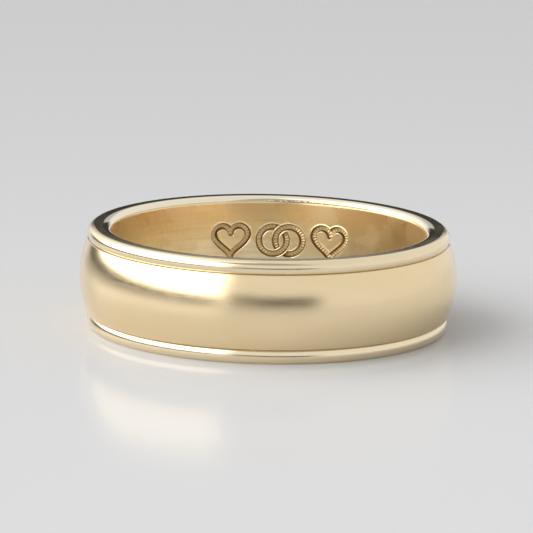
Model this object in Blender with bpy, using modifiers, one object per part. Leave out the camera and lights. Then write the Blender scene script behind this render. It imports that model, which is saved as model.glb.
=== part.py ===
"""A wedding band in yellow gold, lying flat with its bore axis along +Z.

A satin, domed band sits on a comfort-fit sleeve. A polished edge ring closes each end: its skirt
drops over the end of the sleeve, its outside shows as a narrow round bead beside the dome, and its
rolled lip is the mouth of the finger hole. A row of three ornaments is engraved inside the sleeve.
"""

import math

import bmesh
import bpy
from mathutils import Vector

MM = 0.001

# Driving dimensions.
BAND_WIDTH = 6.0 * MM
BORE_RADIUS = 9.27 * MM         # 18.5 mm across at the middle of the band, US size 8 1/2
COMFORT_RISE = 0.09 * MM        # how far the bore opens from its middle to the ends of the sleeve
SLEEVE_RADIUS = 9.95 * MM
# Each rail is a bead: outside radius of its end face, radius at its foot beside the dome, how far it
# swells out between those, and its height. The lower one is a little taller and stands more upright.
UPPER_RAIL = (10.35 * MM, 10.68 * MM, 0.21 * MM, 0.70 * MM)
LOWER_RAIL = (10.55 * MM, 10.62 * MM, 0.15 * MM, 0.76 * MM)
CROWN_RADIUS = 11.2 * MM        # outside of the dome at its middle
DOME_RISE = 0.47 * MM           # from the dome's edges to its crown
GROOVE_WIDTH = 0.08 * MM        # line between the dome and each rail
GROOVE_DEPTH = 0.04 * MM        # below the foot of the rail
LIP_WIDTH = 0.47 * MM           # rolled inner corner of each end face, across the face
LIP_HEIGHT = 0.26 * MM          # and down the bore
LIP_ROLL = 0.07 * MM            # how far the lip swells above a flat chamfer
SOLDER_FILM = 0.04 * MM         # room for solder in each seam
SLEEVE_INSET = LIP_HEIGHT + SOLDER_FILM     # from an end face to the end of the sleeve

# The engraved row of ornaments: a pair of linked rings between two hearts.
ENGRAVING_DEPTH = 0.26 * MM
STROKE = 0.38 * MM
HEART_WIDTH = 2.5 * MM
HEART_LIFT = 0.12 * MM          # sets the hearts level with the links, by eye
LINK_RADIUS = 0.85 * MM         # to the middle of the stroke
LINK_OFFSET = 0.50 * MM         # from the middle of the pair to each link's centre
ORNAMENT_PITCH = 3.1 * MM       # along the bore
ORNAMENT_HEIGHT = 3.3 * MM      # the row's centre line, above the lower end face

TURN_STEPS = 96
DOME_STEPS = 14
COMFORT_STEPS = 6
LIP_STEPS = 6
RAIL_STEPS = 10
HEART_STEPS = 36
LINK_STEPS = 40
CUTTER_THICKNESS = 1.2 * MM
SHARP_ANGLE = math.radians(25)
WELD = 1e-7

COLLECTION_NAME = "wedding_band"
MATERIALS = {
    "satin_gold": ((0.84, 0.67, 0.42, 1.0), 0.32),
    "polished_gold": ((0.86, 0.69, 0.43, 1.0), 0.10),
    "bore_gold": ((0.80, 0.61, 0.36, 1.0), 0.24),
}


def clear_scene():
    for item in list(bpy.data.objects):
        bpy.data.objects.remove(item, do_unlink=True)


def new_collection(name):
    collection = bpy.data.collections.new(name)
    bpy.context.scene.collection.children.link(collection)
    return collection


def gold(name):
    colour, roughness = MATERIALS[name]
    material = bpy.data.materials.new(name)
    material.use_nodes = True
    shader = material.node_tree.nodes["Principled BSDF"]
    shader.inputs["Base Color"].default_value = colour
    shader.inputs["Metallic"].default_value = 1.0
    shader.inputs["Roughness"].default_value = roughness
    return material


def bulge(start, end, rise, steps):
    """Points on a shallow arc between two points, swelling by rise to the left of the way between them."""
    start, end = Vector(start), Vector(end)
    chord = end - start
    half_chord = chord.length / 2
    left = Vector((-chord.y, chord.x)).normalized()
    radius = (half_chord**2 + rise**2) / (2 * rise)
    points = []
    for step in range(steps + 1):
        share = step / steps
        along = (2 * share - 1) * half_chord
        swell = math.sqrt(radius**2 - along**2) - (radius - rise)
        points.append(tuple(start + chord * share + left * swell))
    return points


def settled(item):
    """Replaces an object's modifiers by their result, shaded smooth apart from its real edges."""
    graph = bpy.context.evaluated_depsgraph_get()
    mesh = bpy.data.meshes.new_from_object(item.evaluated_get(graph))
    item.modifiers.clear()
    item.data = mesh
    mesh.name = item.name
    mesh.shade_smooth()
    mesh.set_sharp_from_angle(angle=SHARP_ANGLE)
    return item


def turned(name, profile, material, collection):
    """Spins a closed profile about Z. The profile runs down its outer side and back up inside."""
    count = len(profile)
    mesh = bpy.data.meshes.new(name)
    vertices = [(radius, 0.0, height) for radius, height in profile]
    edges = [(index, (index + 1) % count) for index in range(count)]
    mesh.from_pydata(vertices, edges, [])
    mesh.materials.append(material)
    item = bpy.data.objects.new(name, mesh)
    collection.objects.link(item)
    screw = item.modifiers.new("Spin", "SCREW")
    screw.axis = "Z"
    screw.angle = math.tau
    screw.steps = TURN_STEPS
    screw.render_steps = TURN_STEPS
    screw.use_merge_vertices = True
    screw.merge_threshold = WELD
    return item


def edge_ring_profile(rail_sizes):
    """An edge ring at the top: end face, rail, groove, seat on the dome, skirt and rolled lip."""
    face_radius, foot_radius, roll, rail_height = rail_sizes
    top = BAND_WIDTH
    groove_top = top - rail_height
    seat = groove_top - GROOVE_WIDTH + SOLDER_FILM
    ledge = top - LIP_HEIGHT
    mouth = BORE_RADIUS + COMFORT_RISE
    rail = bulge((face_radius, top), (foot_radius, groove_top), roll, RAIL_STEPS)
    groove = [
        (foot_radius - GROOVE_DEPTH, groove_top),
        (foot_radius - GROOVE_DEPTH, seat),
    ]
    inside = [
        (SLEEVE_RADIUS + SOLDER_FILM, seat),
        (SLEEVE_RADIUS + SOLDER_FILM, ledge),
    ]
    lip = bulge((mouth, ledge), (mouth + LIP_WIDTH, top), LIP_ROLL, LIP_STEPS)
    return rail + groove + inside + lip


def mirrored(profile):
    """The same profile at the other end of the band, still running down its outer side."""
    return [(radius, BAND_WIDTH - height) for radius, height in reversed(profile)]


def dome_profile():
    low = LOWER_RAIL[3] + GROOVE_WIDTH
    high = BAND_WIDTH - UPPER_RAIL[3] - GROOVE_WIDTH
    edge = CROWN_RADIUS - DOME_RISE
    crown = bulge((edge, high), (edge, low), DOME_RISE, DOME_STEPS)
    inner_radius = SLEEVE_RADIUS + SOLDER_FILM
    return crown + [(inner_radius, low), (inner_radius, high)]


def sleeve_profile():
    low = SLEEVE_INSET
    high = BAND_WIDTH - SLEEVE_INSET
    mouth = BORE_RADIUS + COMFORT_RISE
    bore = bulge((mouth, low), (mouth, high), COMFORT_RISE, COMFORT_STEPS)
    return [(SLEEVE_RADIUS, high), (SLEEVE_RADIUS, low)] + bore


def circle_outline(centre_x, radius):
    angles = [math.tau * step / LINK_STEPS for step in range(LINK_STEPS)]
    return [(centre_x + radius * math.cos(angle), radius * math.sin(angle)) for angle in angles]


def heart_outline(inset):
    """A heart, drawn inset by a constant distance along its normals and trimmed at its tip."""
    scale = HEART_WIDTH / 32        # the curve below is 32 wide
    outline = []
    for step in range(HEART_STEPS):
        angle = math.tau * (step + 0.5) / HEART_STEPS
        x = 16 * math.sin(angle) ** 3
        y = 13 * math.cos(angle) - 5 * math.cos(2 * angle) - 2 * math.cos(3 * angle) - math.cos(4 * angle)
        slope_x = 48 * math.sin(angle) ** 2 * math.cos(angle)
        slope_y = (
            -13 * math.sin(angle) + 10 * math.sin(2 * angle) + 6 * math.sin(3 * angle) + 4 * math.sin(4 * angle)
        )
        slope = math.hypot(slope_x, slope_y)
        inset_x = x * scale + inset * slope_y / slope
        inset_y = y * scale - inset * slope_x / slope
        if inset_x * x > 0:
            outline.append((inset_x, inset_y + HEART_LIFT))
    return outline


def outline_cutter(name, outlines, place, collection):
    """A plate with the outline's shape, set across the bore wall at a place along the engraved row."""
    curve = bpy.data.curves.new(name, "CURVE")
    curve.dimensions = "2D"
    curve.fill_mode = "BOTH"
    curve.extrude = CUTTER_THICKNESS / 2
    for outline in outlines:
        spline = curve.splines.new("POLY")
        spline.points.add(len(outline) - 1)
        for point, (x, y) in zip(spline.points, outline):
            point.co = (x, y, 0.0, 1.0)
        spline.use_cyclic_u = True
    guide = bpy.data.objects.new(name + "_outline", curve)
    collection.objects.link(guide)
    turn = place / BORE_RADIUS
    reach = BORE_RADIUS + ENGRAVING_DEPTH - CUTTER_THICKNESS / 2
    guide.location = (reach * math.sin(turn), reach * math.cos(turn), ORNAMENT_HEIGHT)
    guide.rotation_euler = (math.pi / 2, 0.0, -turn)
    graph = bpy.context.evaluated_depsgraph_get()
    mesh = bpy.data.meshes.new_from_object(guide.evaluated_get(graph))
    welded = bmesh.new()
    welded.from_mesh(mesh)
    bmesh.ops.remove_doubles(welded, verts=welded.verts, dist=WELD)
    bmesh.ops.recalc_face_normals(welded, faces=welded.faces)
    welded.to_mesh(mesh)
    welded.free()
    cutter = bpy.data.objects.new(name, mesh)
    cutter.matrix_world = guide.matrix_world.copy()
    collection.objects.link(cutter)
    bpy.data.objects.remove(guide, do_unlink=True)
    cutter.hide_render = True
    cutter.display_type = "WIRE"
    return cutter


def engraving_cutters(collection):
    heart = [heart_outline(0.0), heart_outline(STROKE)]
    cutters = [
        outline_cutter("heart_left_cutter", heart, -ORNAMENT_PITCH, collection),
        outline_cutter("heart_right_cutter", heart, ORNAMENT_PITCH, collection),
    ]
    for side, name in ((-1, "link_left_cutter"), (1, "link_right_cutter")):
        centre = side * LINK_OFFSET
        link = [
            circle_outline(centre, LINK_RADIUS + STROKE / 2),
            circle_outline(centre, LINK_RADIUS - STROKE / 2),
        ]
        cutters.append(outline_cutter(name, link, 0.0, collection))
    return cutters


def engrave(item, cutters):
    for cutter in cutters:
        cut = item.modifiers.new(cutter.name, "BOOLEAN")
        cut.operation = "DIFFERENCE"
        cut.solver = "EXACT"
        cut.object = cutter


def build():
    clear_scene()
    parts = new_collection(COLLECTION_NAME)
    cutters = new_collection("cutters")
    satin = gold("satin_gold")
    polished = gold("polished_gold")
    bore = gold("bore_gold")

    sleeve = turned("comfort_sleeve", sleeve_profile(), bore, parts)
    engrave(sleeve, engraving_cutters(cutters))
    bands = [
        sleeve,
        turned("domed_band", dome_profile(), satin, parts),
        turned("upper_edge_ring", edge_ring_profile(UPPER_RAIL), polished, parts),
        turned("lower_edge_ring", mirrored(edge_ring_profile(LOWER_RAIL)), polished, parts),
    ]
    bpy.context.view_layer.update()
    for item in bands:
        settled(item)


build()
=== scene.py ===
"""The looks of a gold wedding band lying flat: a satin dome between two polished edge rings, and a
comfort-fit sleeve with an engraved row of ornaments. Lengths are in metres unless a name ends in _MM."""

import math
from collections import namedtuple
import bpy
import numpy as np
from mathutils import Matrix, Vector


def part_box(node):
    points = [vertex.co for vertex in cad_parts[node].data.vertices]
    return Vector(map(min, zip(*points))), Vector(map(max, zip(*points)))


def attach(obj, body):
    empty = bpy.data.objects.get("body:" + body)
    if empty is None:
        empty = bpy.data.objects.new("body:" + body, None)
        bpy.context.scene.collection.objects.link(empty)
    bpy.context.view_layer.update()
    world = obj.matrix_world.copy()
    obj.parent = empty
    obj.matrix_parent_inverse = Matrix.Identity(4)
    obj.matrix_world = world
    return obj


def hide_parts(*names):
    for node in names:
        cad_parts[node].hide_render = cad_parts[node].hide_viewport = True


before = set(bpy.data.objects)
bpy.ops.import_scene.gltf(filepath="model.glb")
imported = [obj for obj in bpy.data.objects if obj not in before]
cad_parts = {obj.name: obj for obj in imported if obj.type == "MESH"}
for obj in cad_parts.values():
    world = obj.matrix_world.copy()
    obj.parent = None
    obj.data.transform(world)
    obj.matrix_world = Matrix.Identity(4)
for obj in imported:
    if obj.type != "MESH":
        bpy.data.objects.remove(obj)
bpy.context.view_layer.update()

MM = 0.001
BODY = "root"

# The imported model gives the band's main sizes.
DOME_LOW, DOME_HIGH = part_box("domed_band")
UPPER_LOW, UPPER_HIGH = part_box("upper_edge_ring")
LOWER_LOW, LOWER_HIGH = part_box("lower_edge_ring")
SLEEVE_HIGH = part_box("comfort_sleeve")[1]
WIDTH = UPPER_HIGH.z
MIDDLE = WIDTH / 2
CROWN_RADIUS = DOME_HIGH.x
RAIL_RADIUS = UPPER_HIGH.x
SLEEVE_RADIUS = SLEEVE_HIGH.x

# Sizes that the boxes don't show.
BORE_RADIUS = 9.27 * MM
COMFORT_RISE = 0.09 * MM        # how far the bore opens from its middle to the ends of the sleeve
MOUTH_RADIUS = BORE_RADIUS + COMFORT_RISE
SOLDER_FILM = 0.04 * MM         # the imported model's room for solder in each seam
SOLDER_LINE = 0.006 * MM        # what shows of a seam once it is soldered
INNER_RADIUS = SLEEVE_RADIUS + SOLDER_FILM      # of the rings that sit on the sleeve
DOME_RISE = 0.47 * MM
DOME_SHOULDER = 0.04 * MM       # height of the wall at each edge of the dome
GROOVE_DEPTH = 0.04 * MM
LIP_WIDTH = 0.47 * MM
LIP_ROLL = 0.07 * MM            # how far the lip swells above a flat chamfer
LIP_RADIUS = MOUTH_RADIUS + LIP_WIDTH
LIP_SEAM = SLEEVE_HIGH.z + SOLDER_FILM / 2
UPPER_SEAT = (UPPER_LOW.z + DOME_HIGH.z) / 2
LOWER_SEAT = (LOWER_HIGH.z + DOME_LOW.z) / 2
FACE_MARGIN = 0.03 * MM         # from the edges of the flat face to where it is shaded flat
BROKEN_CORNER = 0.012 * MM      # rounding or chamfer of a corner that is only broken

# Each rail is a bead. It goes from the outside of the end face to its foot beside the dome, and swells out
# between them. Its last number is how far its colour goes to the paler gold of the painted highlight.
Rail = namedtuple("Rail", "face_radius foot_radius swell height buff")
UPPER_RAIL = Rail(10.35 * MM, 10.68 * MM, swell=0.21 * MM, height=0.70 * MM, buff=0.35)
LOWER_RAIL = Rail(10.55 * MM, 10.62 * MM, swell=0.15 * MM, height=0.76 * MM, buff=0.5)

# What wear and handling leave, and the painted shade in the grooves, at the foot of the lip and at the head
# of the sleeve.
DOME_RIPPLE = 0.004 * MM        # unevenness round the band
RAIL_RIPPLE = 0.003 * MM
BORE_RIPPLE = 0.004 * MM
WEAR_REACH = 0.10 * MM          # from the dome's edges
GROOVE_SHADE = 0.25              # share of painted shade in the grooves
LIP_SHADE_SPREAD = 0.08 * MM     # of painted shade, from the foot of the lip
SLEEVE_SHADE = 0.8               # share of painted shade at the head of the sleeve
SLEEVE_SHADE_SPREAD = 0.07 * MM
NICK_COUNT = 40
NICK_SPREAD = 0.05 * MM         # along the bore, from the foot of the lip
EDGE_SLACK = 0.005 * MM         # for telling which part of an outline a point is on

# The engraved row.
ENGRAVING_DEPTH = 0.24 * MM
STROKE = 0.38 * MM
WALL_SLOPE = 0.06 * MM          # width of a cut's sloping wall
# width of the painted shade along the foot of a cut's wall
WALL_SHADE_WIDTH = 0.045 * MM
BURR_HEIGHT = 0.016 * MM        # metal raised beside a cut
BURR_WIDTH = 0.07 * MM
HEART_WIDTH = 2.5 * MM
HEART_LIFT = 0.12 * MM
LINK_RADIUS = 0.85 * MM
LINK_OFFSET = 0.50 * MM
LINK_GAP = 0.08 * MM            # beside the link that passes over
NOTCH_PITCH = 0.17 * MM         # of the ridges that the tool left across a stroke
NOTCH_HEIGHT = 0.035 * MM
ORNAMENT_PITCH = 3.1 * MM
ORNAMENT_HEIGHT = 3.3 * MM
ENGRAVED_HALF_LENGTH = 4.6 * MM
ENGRAVED_HALF_HEIGHT = 1.5 * MM
FINE_STEP = 0.022 * MM

# How finely the meshes are divided.
TURN_SEGMENTS = 512
EDGE_RING_SEGMENTS = 4 * TURN_SEGMENTS      # enough to show the nicks in the lip
PLAIN_BORE_SEGMENTS = 400                   # round the part of the bore without engraving
DOME_STEPS = 64
RAIL_STEPS = 30
LIP_STEPS = 14
SHARP_DEGREES = 40

GOLD = (0.88, 0.71, 0.44, 1.0)
HIGHLIGHT_GOLD = (0.96, 0.86, 0.66, 1.0)     # painted highlight: a paler gold on the lip and rails
PAINTED_SHADE = (0.22, 0.17, 0.11, 1.0)        # painted shade, dark in the grooves and at the foot of the lip
PAINTED_SHADE_ROUGHNESS = 0.3                  # what it adds to the roughness

# The camera stands in front of the band, a little to its right.
VIEW_TURN = math.radians(4.6)
VIEW_ELEVATION = math.radians(11.55)
VIEW_ROLL = math.radians(1.1)
VIEW_DISTANCE = 260 * MM
AIM_LIFT = 0.55 * MM
AIM_LEFT = 0.10 * MM
LENS_MM = 295.5

# Light by direction: its level, then where it starts and ends and how soft its edges are, as the turn from
# the camera to the right and the rise above the floor. Angles are in degrees. Later ones cover earlier ones.
LIGHT_PATCHES = [
    (0.05, (-150, -34, 16), (-10, 6.5, 3)),     # dark below the window
    (1.2, (-158, -52, 14), (8, 86, 4)),         # bright wall, behind and above the window
    (3.5, (-131, -29, 13), (8, 60, 4)),         # window, to the left
    (0.42, (-50, 40, 16), (52, 89, 8)),         # dim, high over the camera
    (0.30, (-22, -8, 8), (-11, 12, 8)),         # dim, low and a little left of the camera
    (0.03, (-10, 30, 16), (-10, 9, 7)),         # dark, under the camera and mostly to its right
]

# The back of the room. Its dark part ends above the direction that the end face mirrors at the sides, 11.0
# degrees, and below the one that it mirrors nearest to the camera, 11.5 degrees.
BACK_TURN = (162, 174)                          # from outside it to wholly in it, on both sides
BACK_PALE = (0.5, (5, 22, 6))
BACK_DARK = (0.04, (0.5, 11.40, 0.28))
BACKGROUND_LEVEL = 0.74                         # what the camera sees behind the floor

FLOOR_SIZE = 3.0


# ---- Outlines ----

def bulge(start, end, rise, steps):
    """Points on a shallow arc between two points, swelling by rise to the left of the way between."""
    start, end = np.array(start), np.array(end)
    half_chord = np.linalg.norm(end - start) / 2
    along = (end - start) / (2 * half_chord)
    across = np.array([-along[1], along[0]])
    radius = (half_chord**2 + rise**2) / (2 * rise)
    centre = (start + end) / 2 - across * (radius - rise)
    half_angle = math.asin(half_chord / radius)
    points = []
    for angle in np.linspace(-half_angle, half_angle, steps + 1):
        points.append(tuple(centre + radius * (along * math.sin(angle) + across * math.cos(angle))))
    return points


def smooth(value, low, high):
    """Goes from 0 to 1 with soft ends as value goes from low to high."""
    t = np.clip((value - low) / (high - low), 0, 1)
    return t * t * (3 - 2 * t)


def hump(distance, spread):
    """A bell curve: 1 at no distance, and falling off over about the spread."""
    return np.exp(-((distance / spread) ** 2))


def sharp(points):
    return [(x, y, 0.0) for x, y in points]


def filleted(corners, steps=5):
    """A closed outline through (x, y, fillet radius) corners, with each corner rounded by its radius."""
    outline = []
    count = len(corners)
    for index, (x, y, radius) in enumerate(corners):
        here = np.array([x, y])
        if radius == 0:
            outline.append((x, y))
            continue
        before = np.array(corners[index - 1][:2]) - here
        after = np.array(corners[(index + 1) % count][:2]) - here
        before /= np.linalg.norm(before)
        after /= np.linalg.norm(after)
        half_angle = math.acos(np.clip(before @ after, -1, 1)) / 2
        setback = radius / math.tan(half_angle)
        first, last = here + before * setback, here + after * setback
        for t in np.linspace(0, 1, steps + 1):
            point = (1 - t) ** 2 * first + 2 * t * (1 - t) * here + t**2 * last
            outline.append(tuple(point))
    return outline


# ---- Turned meshes ----

def ripple(angles, seed, strength, waves=range(3, 24)):
    """A smooth, closed, random curve round the band, as hand polishing leaves."""
    random = np.random.default_rng(seed)
    total = np.zeros_like(angles)
    for wave in waves:
        total += np.cos(wave * angles + random.uniform(0, math.tau)) / wave
    return strength * total


def mesh_object(name, points, faces, material):
    mesh = bpy.data.meshes.new(name)
    mesh.from_pydata(points, [], faces)
    mesh.update()
    mesh.shade_smooth()
    mesh.materials.append(material)
    item = bpy.data.objects.new(name, mesh)
    bpy.context.scene.collection.objects.link(item)
    return item


def grid_faces(columns, rows):
    """Quads of a grid that is closed both ways, facing out when the outline runs down its outer side."""
    column, row = np.meshgrid(np.arange(columns), np.arange(rows), indexing="ij")
    next_column, next_row = (column + 1) % columns, (row + 1) % rows
    corners = [
        column * rows + row,
        column * rows + next_row,
        next_column * rows + next_row,
        next_column * rows + row,
    ]
    return np.stack(corners, axis=-1).reshape(-1, 4).tolist()


def lathe(name, outline, angles, material, offset):
    """Turns an outline about Z. offset(angles, radii, heights) gives what is added to each radius."""
    radius, height = np.array(outline).T
    angle_grid, radius_grid = np.meshgrid(angles, radius, indexing="ij")
    height_grid = np.broadcast_to(height, radius_grid.shape)
    radius_grid = radius_grid + offset(angle_grid, radius_grid, height_grid)
    points = np.stack(
        [radius_grid * np.cos(angle_grid), radius_grid * np.sin(angle_grid), height_grid], axis=-1
    )
    return mesh_object(name, points.reshape(-1, 3).tolist(), grid_faces(*radius_grid.shape), material)


def even_angles(count):
    return np.arange(count) * math.tau / count


def keep_corners(item):
    item.data.set_sharp_from_angle(angle=math.radians(SHARP_DEGREES))


def paint(item, name, values):
    """Stores one number a vertex, for the item's material to read."""
    attribute = item.data.attributes.new(name, "FLOAT", "POINT")
    attribute.data.foreach_set("value", np.asarray(values, np.float32).ravel())


# ---- Materials ----

def new_material(name):
    material = bpy.data.materials.new(name)
    material.use_nodes = True
    return material, material.node_tree, material.node_tree.nodes["Principled BSDF"]


def node(tree, kind, inputs=(), **settings):
    """Adds a node. inputs is (name or index, socket or value) pairs."""
    made = tree.nodes.new(kind)
    for key, value in settings.items():
        setattr(made, key, value)
    for key, value in inputs:
        if isinstance(value, bpy.types.NodeSocket):
            tree.links.new(value, made.inputs[key])
        else:
            made.inputs[key].default_value = value
    return made


def calc(tree, operation, *values):
    return node(tree, "ShaderNodeMath", list(enumerate(values)), operation=operation).outputs[0]


def remap(tree, value, low, high, to_low, to_high, smooth=False):
    inputs = [("Value", value), ("From Min", low), ("From Max", high)]
    inputs += [("To Min", to_low), ("To Max", to_high)]
    interpolation = "SMOOTHSTEP" if smooth else "LINEAR"
    made = node(tree, "ShaderNodeMapRange", inputs, interpolation_type=interpolation)
    return made.outputs["Result"]


def stretched_noise(tree, per_mm, detail=3.0, roughness=0.55, turn=(0, 0, 0)):
    """Noise with its own number of cells a millimetre along each axis."""
    place = node(tree, "ShaderNodeTexCoord").outputs["Object"]
    scale = tuple(count / MM for count in per_mm)
    inputs = [("Vector", place), ("Rotation", tuple(math.radians(t) for t in turn)), ("Scale", scale)]
    mapped = node(tree, "ShaderNodeMapping", inputs, vector_type="POINT").outputs[0]
    inputs = [("Vector", mapped), ("Scale", 1.0), ("Detail", detail), ("Roughness", roughness)]
    return node(tree, "ShaderNodeTexNoise", inputs).outputs["Fac"]


def painted(tree, name):
    return node(tree, "ShaderNodeAttribute", attribute_name=name).outputs["Fac"]


def tinted(tree, colour, other, amount):
    """Goes from colour to other as amount goes from 0 to 1. Inputs 6 and 7 are the two colours."""
    return node(tree, "ShaderNodeMix", [(0, amount), (6, colour), (7, other)], data_type="RGBA").outputs[2]


def bumped(tree, height, distance, below=None):
    inputs = [("Height", height), ("Distance", distance), ("Strength", 1.0)]
    if below is not None:
        inputs.append(("Normal", below))
    return node(tree, "ShaderNodeBump", inputs).outputs["Normal"]


def gold(red, green, blue):
    """The alloy's colour, with each part scaled."""
    return (GOLD[0] * red, GOLD[1] * green, GOLD[2] * blue, 1.0)


def make_metal(tree, shader, colour, rough, normal):
    tree.links.new(colour, shader.inputs["Base Color"])
    tree.links.new(rough, shader.inputs["Roughness"])
    tree.links.new(normal, shader.inputs["Normal"])
    shader.inputs["Metallic"].default_value = 1.0


def satin_gold():
    """Fine brushing round the band, worn smoother beside the two grooves."""
    material, tree, shader = new_material("satin_gold")
    brushing = stretched_noise(tree, (0.35, 0.35, 22.0), detail=4.0, roughness=0.65)
    strokes = stretched_noise(tree, (1.2, 1.2, 9.0), detail=2.0, turn=(0, 0, 40))
    clouds = stretched_noise(tree, (0.25, 0.25, 0.6), detail=2.0)
    shade = remap(tree, clouds, 0.3, 0.7, 0.0, 1.0)
    colour = tinted(tree, gold(1.00, 1.00, 0.98), gold(1.03, 1.03, 1.06), shade)
    rough = remap(tree, brushing, 0.3, 0.7, 0.17, 0.22)
    rough = calc(tree, "ADD", rough, remap(tree, strokes, 0.35, 0.65, -0.015, 0.015))
    rough = calc(tree, "MULTIPLY", rough, remap(tree, painted(tree, "wear"), 0.0, 1.0, 1.0, 0.6))
    normal = bumped(tree, brushing, 0.0010 * MM)
    normal = bumped(tree, strokes, 0.0008 * MM, normal)
    # Painted shade: a darker, rougher colour in the grooves beside the dome.
    colour = tinted(tree, colour, PAINTED_SHADE, painted(tree, "painted_shade"))
    rough = calc(tree, "ADD", rough, calc(tree, "MULTIPLY", painted(tree, "painted_shade"), PAINTED_SHADE_ROUGHNESS))
    make_metal(tree, shader, colour, rough, normal)
    tangent = node(tree, "ShaderNodeTangent", direction_type="RADIAL", axis="Z").outputs[0]
    tree.links.new(tangent, shader.inputs["Tangent"])
    shader.inputs["Anisotropic"].default_value = 0.3
    shader.inputs["Anisotropic Rotation"].default_value = 0.25
    return material


def polished_gold():
    """A mirror finish with buffing haze and hair-fine scratches.

    It is softer on the rail, which rubs most. It is paler on the lip and rail, a painted highlight, and
    darker in its corners, a painted shade.
    """
    material, tree, shader = new_material("polished_gold")
    haze = stretched_noise(tree, (0.5, 0.5, 1.2), detail=3.0)
    scratches = stretched_noise(tree, (1.5, 14.0, 6.0), detail=2.0, turn=(20, 30, 25))
    turning = stretched_noise(tree, (0.6, 0.6, 26.0), detail=3.0)
    colour = tinted(tree, gold(1, 1, 1), gold(0.97, 0.96, 0.94), remap(tree, haze, 0.35, 0.7, 0.0, 1.0))
    rough = remap(tree, haze, 0.3, 0.75, 0.03, 0.05)
    rough = calc(tree, "ADD", rough, remap(tree, scratches, 0.62, 0.70, 0.0, 0.05))
    rough = calc(tree, "ADD", rough, calc(tree, "MULTIPLY", painted(tree, "handled"), 0.12))
    rough = calc(tree, "ADD", rough, calc(tree, "MULTIPLY", painted(tree, "painted_shade"), PAINTED_SHADE_ROUGHNESS))
    # Painted highlight: paler gold on the lip and rail.
    colour = tinted(tree, colour, HIGHLIGHT_GOLD, painted(tree, "painted_highlight"))
    # Painted shade: dark in the grooves and at the foot of the lip.
    colour = tinted(tree, colour, PAINTED_SHADE, painted(tree, "painted_shade"))
    normal = bumped(tree, turning, 0.00006 * MM)
    normal = bumped(tree, scratches, 0.0001 * MM, normal)
    make_metal(tree, shader, colour, rough, normal)
    return material


def bore_gold():
    """Semi-polished and turned, rubbed in patches, with painted shade in the cuts and at the head of the
    bore.

    It is browner towards +X, a painted shade, and towards its top.
    """
    material, tree, shader = new_material("bore_gold")
    turning = stretched_noise(tree, (0.12, 0.12, 4.5), detail=1.0, roughness=0.6)
    patches = stretched_noise(tree, (0.45, 0.45, 0.45), detail=2.0, roughness=0.4, turn=(35, 20, 50))
    grit = stretched_noise(tree, (24.0, 24.0, 24.0), detail=2.0)
    cut = painted(tree, "engraved")
    bore_shade = painted(tree, "bore_shade")
    rubbed = remap(tree, patches, 0.35, 0.65, 0.0, 1.0, smooth=True)
    place = node(tree, "ShaderNodeTexCoord").outputs["Object"]
    sides = node(tree, "ShaderNodeSeparateXYZ", [(0, place)]).outputs
    # Painted shade: browner towards +X, where less light reaches the bore.
    side_shade = remap(tree, sides["X"], -1.0 * MM, 7.0 * MM, 0.0, 1.0, smooth=True)
    raised = remap(tree, sides["Z"], 3.6 * MM, 5.6 * MM, 0.0, 0.6, smooth=True)
    colour = tinted(tree, gold(1.12, 1.25, 1.42), gold(1.02, 1.08, 1.10), rubbed)
    colour = tinted(tree, colour, gold(0.97, 0.94, 0.96), side_shade)
    colour = tinted(tree, colour, gold(0.90, 0.80, 0.72), raised)
    lines = remap(tree, turning, 0.35, 0.65, 0.0, 0.45)
    colour = tinted(tree, colour, gold(0.92, 0.88, 0.80), lines)
    floor_colour = tinted(tree, gold(0.95, 0.88, 0.80), gold(0.62, 0.55, 0.46), grit)
    colour = tinted(tree, colour, floor_colour, cut)
    # Painted shade: dark along the walls of the cuts and at the head of the bore.
    colour = tinted(tree, colour, gold(0.30, 0.25, 0.18), bore_shade)
    rough = remap(tree, rubbed, 0.0, 1.0, 0.24, 0.33)
    rough = calc(tree, "ADD", rough, calc(tree, "MULTIPLY", cut, 0.12))
    normal = bumped(tree, turning, 0.0014 * MM)
    normal = bumped(tree, calc(tree, "MULTIPLY", grit, cut), 0.010 * MM, normal)
    make_metal(tree, shader, colour, rough, normal)
    return material


# ---- The four rings ----

def make_dome(material):
    low, high = LOWER_SEAT + SOLDER_LINE / 2, UPPER_SEAT - SOLDER_LINE / 2
    low_valley, high_valley = LOWER_RAIL.foot_radius - GROOVE_DEPTH, UPPER_RAIL.foot_radius - GROOVE_DEPTH
    edge = CROWN_RADIUS - DOME_RISE
    crown = bulge((edge, high - DOME_SHOULDER), (edge, low + DOME_SHOULDER), DOME_RISE, DOME_STEPS)
    outline = filleted(
        [(high_valley, high, 0.0), (*crown[0], BROKEN_CORNER)]
        + sharp(crown[1:-1])
        + [(*crown[-1], BROKEN_CORNER), (low_valley, low, 0.0)]
        + [(INNER_RADIUS, low, 0.0), (INNER_RADIUS, high, 0.0)]
    )

    def offset(angle, radius, height):
        swell = np.clip((radius - edge) / DOME_RISE, 0, 1)
        return ripple(angle, 3, DOME_RIPPLE) * swell

    dome = lathe("satin_dome", outline, even_angles(TURN_SEGMENTS), material, offset)
    radius, height = np.array(outline).T
    wear = np.exp(-np.minimum(height - low, high - height) / WEAR_REACH)
    in_groove = radius < edge - 2 * EDGE_SLACK
    paint(dome, "wear", np.tile(wear, TURN_SEGMENTS))
    # Painted shade in the grooves beside the dome.
    paint(dome, "painted_shade", np.tile(GROOVE_SHADE * in_groove, TURN_SEGMENTS))
    keep_corners(dome)
    return dome


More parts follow.
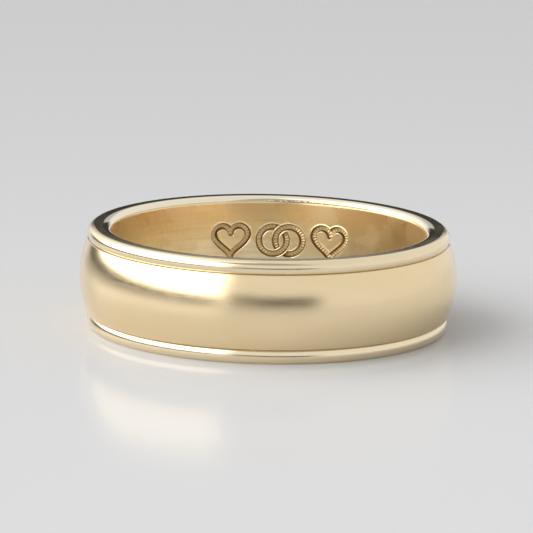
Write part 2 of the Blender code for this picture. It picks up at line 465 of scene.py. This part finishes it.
def edge_ring_outline(rail, seat_depth):
    """An edge ring at the top, from the top of its rail down the outside and back up the bore.

    seat_depth is how far below the end face it rests on the dome.
    """
    top = WIDTH
    seat = top - seat_depth + SOLDER_LINE / 2
    ledge = LIP_SEAM + SOLDER_LINE / 2
    bead = bulge((rail.face_radius, top), (rail.foot_radius, top - rail.height), rail.swell, RAIL_STEPS)
    hidden = [(rail.foot_radius - GROOVE_DEPTH, seat), (INNER_RADIUS, seat), (INNER_RADIUS, ledge)]
    lip = bulge((MOUTH_RADIUS, ledge), (LIP_RADIUS, top), LIP_ROLL, LIP_STEPS)
    face = [(LIP_RADIUS + FACE_MARGIN, top), (rail.face_radius - FACE_MARGIN, top)]
    return filleted(sharp(bead + hidden) + [(*lip[0], BROKEN_CORNER)] + sharp(lip[1:] + face))


def from_engraving(angles):
    """The angle round the bore from the middle of the engraved row, at +Y. It grows towards +X."""
    return math.pi - (angles + math.pi / 2) % math.tau


def lip_nicks(angle, height):
    """Small dents in the foot of the lip, on the far side by the engraving."""
    random = np.random.default_rng(21)
    place = from_engraving(angle)
    dents = np.zeros_like(angle)
    for _ in range(NICK_COUNT):
        middle = random.uniform(-0.12, 0.42)
        spread = random.uniform(0.004, 0.02)
        depth = random.uniform(0.01, 0.045) * MM
        dents = np.maximum(dents, depth * hump(place - middle, spread))
    return dents * hump(height - LIP_SEAM, NICK_SPREAD)


def shaded_side(angles):
    """Goes from 0 to 1 and back over the part of the far side, by the engraving, that gets the most painted
    shade.
    """
    place = from_engraving(angles)
    return smooth(place, -0.15, 0.10) * (1 - smooth(place, 0.55, 0.85))


def paint_edge_ring(ring, radius, from_face, angles, rail):
    """Marks where the ring is handled, and where it gets a painted highlight and painted shade.

    radius and from_face are lists over the outline. from_face is how far a point is from the end face.
    """
    on_rail = radius > rail.face_radius + EDGE_SLACK
    in_groove = on_rail & (from_face > rail.height - EDGE_SLACK)
    on_lip = radius < LIP_RADIUS
    # Painted shade at the foot of the lip, on part of the far side.
    lip_shade = on_lip * hump(from_face - (WIDTH - LIP_SEAM), LIP_SHADE_SPREAD)
    shade_by_angle = shaded_side(angles)[:, None] * lip_shade[None, :]
    paint(ring, "handled", np.tile(on_rail, len(angles)))
    # Painted highlight: the lip, and the rail by its share, are made paler.
    paint(ring, "painted_highlight", np.tile(on_lip + rail.buff * on_rail, len(angles)))
    # Painted shade in the groove and at the foot of the lip.
    paint(ring, "painted_shade", np.maximum(GROOVE_SHADE * in_groove[None, :], shade_by_angle))


def make_edge_ring(name, material, at_bottom, seed):
    rail = LOWER_RAIL if at_bottom else UPPER_RAIL
    seat_depth = LOWER_SEAT if at_bottom else WIDTH - UPPER_SEAT
    outline = edge_ring_outline(rail, seat_depth)
    if at_bottom:
        outline = [(radius, WIDTH - height) for radius, height in reversed(outline)]

    def offset(angle, radius, height):
        outside = np.clip((radius - SLEEVE_RADIUS) / (RAIL_RADIUS - SLEEVE_RADIUS), 0, 1)
        inside = radius < MOUTH_RADIUS + LIP_WIDTH / 2
        return ripple(angle, seed, RAIL_RIPPLE) * outside + inside * lip_nicks(angle, height)

    angles = even_angles(EDGE_RING_SEGMENTS)
    ring = lathe(name, outline, angles, material, offset)
    radius, height = np.array(outline).T
    paint_edge_ring(ring, radius, height if at_bottom else WIDTH - height, angles, rail)
    keep_corners(ring)
    return ring


# ---- The engraving, as distances in the unrolled bore wall ----

def link(x, y, centre_x):
    """Distance to a ring-shaped stroke, and how far along it the nearest point lies."""
    distance = np.abs(np.hypot(x - centre_x, y) - LINK_RADIUS) - STROKE / 2
    return distance, np.arctan2(y, x - centre_x) * LINK_RADIUS


def heart_line(steps=240):
    """Points along the middle of a heart-shaped stroke. The formula's heart is 32 wide."""
    angle = np.linspace(0, math.tau, steps, endpoint=False)
    x = 16 * np.sin(angle) ** 3
    y = 13 * np.cos(angle) - 5 * np.cos(2 * angle) - 2 * np.cos(3 * angle) - np.cos(4 * angle)
    return np.stack([x, y], axis=-1) * (HEART_WIDTH - STROKE) / 32


def heart(x, y, centre_x):
    """Distance to a heart-shaped stroke, and how far along it the nearest point lies."""
    line = heart_line()
    points = np.stack([x - centre_x, y - HEART_LIFT], axis=-1)
    nearest = np.full(x.shape, np.inf)
    place = np.zeros(x.shape)
    travelled = 0.0
    for start, end in zip(line, np.roll(line, -1, axis=0)):
        along = end - start
        length = max(np.linalg.norm(along), 1e-9)
        t = np.clip(((points - start) @ along) / length**2, 0, 1)
        gap = points - start - t[..., None] * along
        distance = np.hypot(gap[..., 0], gap[..., 1])
        closer = distance < nearest
        nearest = np.where(closer, distance, nearest)
        place = np.where(closer, travelled + t * length, place)
        travelled += length
    return nearest - STROKE / 2, place


def engraving(x, y):
    """Distance to the nearest stroke, below zero inside it, and how far along it that is.

    A pair of linked rings, each passing under the other once, stands between two hearts.
    """
    left, left_place = link(x, y, -LINK_OFFSET)
    right, right_place = link(x, y, LINK_OFFSET)
    left_under = np.where(y > 0, np.maximum(left, LINK_GAP - right), left)
    right_under = np.where(y < 0, np.maximum(right, LINK_GAP - left), right)
    first_heart, first_place = heart(x, y, -ORNAMENT_PITCH)
    second_heart, second_place = heart(x, y, ORNAMENT_PITCH)
    distances = np.stack([left_under, right_under, first_heart, second_heart])
    places = np.stack([left_place, right_place, first_place, second_place])
    nearest = np.argmin(distances, axis=0)[None]
    return np.take_along_axis(distances, nearest, 0)[0], np.take_along_axis(places, nearest, 0)[0]


def sleeve_angles():
    """Angles round the bore, close together where the engraving is. It is centred on +Y."""
    half_angle = ENGRAVED_HALF_LENGTH / BORE_RADIUS
    fine = np.arange(-half_angle, half_angle, FINE_STEP / BORE_RADIUS)
    coarse = np.linspace(half_angle, math.tau - half_angle, PLAIN_BORE_SEGMENTS, endpoint=False)
    return np.concatenate([fine, coarse]) + math.pi / 2


def sleeve_outline():
    """Down the outside of the sleeve and back up its bore, close together where the engraving is."""
    high = LIP_SEAM - SOLDER_LINE / 2
    low = WIDTH - high
    first, last = ORNAMENT_HEIGHT - ENGRAVED_HALF_HEIGHT, ORNAMENT_HEIGHT + ENGRAVED_HALF_HEIGHT
    engraved = np.arange(first, last, FINE_STEP)
    below = np.linspace(low + BROKEN_CORNER, first, 12, endpoint=False)
    above = np.linspace(last, high - BROKEN_CORNER, 8)
    heights = np.concatenate([below, engraved, above])
    radii = BORE_RADIUS + COMFORT_RISE * ((heights - MIDDLE) / (high - MIDDLE)) ** 2
    bore = list(zip(radii, heights))
    end_radii = [SLEEVE_RADIUS, MOUTH_RADIUS + 2 * BROKEN_CORNER, MOUTH_RADIUS + BROKEN_CORNER]
    foot = [(radius, low) for radius in end_radii]
    head = [(radius, high) for radius in reversed(end_radii)]
    return foot + bore + head


def make_sleeve(material):
    angles = sleeve_angles()
    outline = sleeve_outline()
    angle_grid, height_grid = np.meshgrid(angles, np.array(outline)[:, 1], indexing="ij")
    x = -(angle_grid - math.pi / 2) * BORE_RADIUS
    y = height_grid - ORNAMENT_HEIGHT
    near = (np.abs(x) < ENGRAVED_HALF_LENGTH) & (np.abs(y) < ENGRAVED_HALF_HEIGHT)
    distance = np.full(x.shape, 1.0)
    place = np.zeros(x.shape)
    distance[near], place[near] = engraving(x[near], y[near])
    cut = 1 - smooth(distance, -WALL_SLOPE, 0)
    notches = 1 - np.abs(np.sin(math.pi * place / NOTCH_PITCH))
    burr = hump(distance - BURR_WIDTH / 2, BURR_WIDTH / 2)
    carved = cut * (ENGRAVING_DEPTH - NOTCH_HEIGHT * notches) - burr * BURR_HEIGHT * (1 - cut)
    # Painted shade along the foot of each cut's wall.
    wall_shade = hump(distance + WALL_SLOPE * 0.7, WALL_SHADE_WIDTH)
    # Painted shade at the head of the sleeve, under the lip, on part of the far side.
    head_shade = SLEEVE_SHADE * hump(LIP_SEAM - height_grid, SLEEVE_SHADE_SPREAD) * shaded_side(angle_grid)

    def offset(angle, radius, height):
        return carved + (radius < SLEEVE_RADIUS) * ripple(angle, 11, BORE_RIPPLE)

    sleeve = lathe("engraved_sleeve", outline, angles, material, offset)
    paint(sleeve, "engraved", cut)
    paint(sleeve, "bore_shade", np.maximum(wall_shade, head_shade))
    return sleeve


# ---- Stage ----

def make_floor():
    bpy.ops.mesh.primitive_plane_add(size=FLOOR_SIZE, location=(0, 0, LOWER_LOW.z))
    floor = bpy.context.object
    floor.name = "floor"
    material, tree, shader = new_material("pale_floor")
    shader.inputs["Base Color"].default_value = (0.55, 0.55, 0.553, 1.0)
    shader.inputs["Roughness"].default_value = 0.12
    shader.inputs["IOR"].default_value = 1.07
    floor.data.materials.append(material)


def make_world():
    """Soft studio light by direction: a tall bright window to the left, a paler room, a dark back.

    turn is the angle round from the camera, in degrees, to the right; rise is the angle above the floor.
    """
    world = bpy.data.worlds.new("studio")
    bpy.context.scene.world = world
    world.use_nodes = True
    tree = world.node_tree
    background = tree.nodes["Background"]
    direction = node(tree, "ShaderNodeTexCoord").outputs["Generated"]
    parts = node(tree, "ShaderNodeSeparateXYZ", [(0, direction)]).outputs
    turn = calc(tree, "ARCTAN2", parts[0], calc(tree, "MULTIPLY", parts[1], -1.0))
    turn = calc(tree, "SUBTRACT", calc(tree, "MULTIPLY", turn, 180 / math.pi), math.degrees(VIEW_TURN))
    rise = calc(tree, "MULTIPLY", calc(tree, "ARCSINE", parts[2]), 180 / math.pi)
    around = calc(tree, "ABSOLUTE", turn)

    def between(value, low, high, soft):
        up = remap(tree, value, low - soft / 2, low + soft / 2, 0.0, 1.0, smooth=True)
        down = remap(tree, value, high - soft / 2, high + soft / 2, 1.0, 0.0, smooth=True)
        return calc(tree, "MULTIPLY", up, down)

    def patch(light, level, *masks):
        """Sets the light to level where all masks are 1."""
        amount = masks[0]
        for mask in masks[1:]:
            amount = calc(tree, "MULTIPLY", amount, mask)
        change = calc(tree, "MULTIPLY", calc(tree, "SUBTRACT", level, light), amount)
        return calc(tree, "ADD", light, change)

    light = remap(tree, rise, 5.0, 70.0, 0.87, 0.80)
    for level, turn_span, rise_span in LIGHT_PATCHES:
        light = patch(light, level, between(turn, *turn_span), between(rise, *rise_span))
    behind = remap(tree, around, *BACK_TURN, 0.0, 1.0, smooth=True)
    for level, rise_span in (BACK_PALE, BACK_DARK):
        light = patch(light, level, behind, between(rise, *rise_span))
    seen = node(tree, "ShaderNodeLightPath").outputs["Is Camera Ray"]
    light = patch(light, BACKGROUND_LEVEL, seen)
    tree.links.new(light, background.inputs["Strength"])
    background.inputs["Color"].default_value = (1.0, 1.0, 1.0, 1.0)


def make_camera():
    data = bpy.data.cameras.new("camera")
    data.lens = LENS_MM
    data.clip_start = 0.01
    data.clip_end = 5.0
    camera = bpy.data.objects.new("camera", data)
    bpy.context.scene.collection.objects.link(camera)
    right = Vector((math.cos(VIEW_TURN), math.sin(VIEW_TURN), 0))
    back = Vector((
        math.sin(VIEW_TURN) * math.cos(VIEW_ELEVATION),
        -math.cos(VIEW_TURN) * math.cos(VIEW_ELEVATION),
        math.sin(VIEW_ELEVATION),
    ))
    centre = Vector((0, 0, MIDDLE))
    aim = centre + Vector((0, 0, AIM_LIFT)) - right * AIM_LEFT
    facing = back.to_track_quat("Z", "Y").to_matrix().to_4x4()
    roll = Matrix.Rotation(VIEW_ROLL, 4, "Z")
    camera.matrix_world = Matrix.Translation(aim + back * VIEW_DISTANCE) @ facing @ roll
    bpy.context.scene.camera = camera
    bpy.context.scene.view_settings.view_transform = "Standard"


def main():
    satin = satin_gold()
    polished = polished_gold()
    bore = bore_gold()
    rings = [
        (make_dome(satin), "domed_band", "satin_gold"),
        (make_edge_ring("upper_polished_ring", polished, False, 5), "upper_edge_ring", "polished_gold"),
        (make_edge_ring("lower_polished_ring", polished, True, 7), "lower_edge_ring", "polished_gold"),
        (make_sleeve(bore), "comfort_sleeve", "bore_gold"),
    ]
    for ring, cad_node, slot in rings:
        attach(ring, BODY)
        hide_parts(cad_node)
    make_floor()
    make_world()
    make_camera()


main()
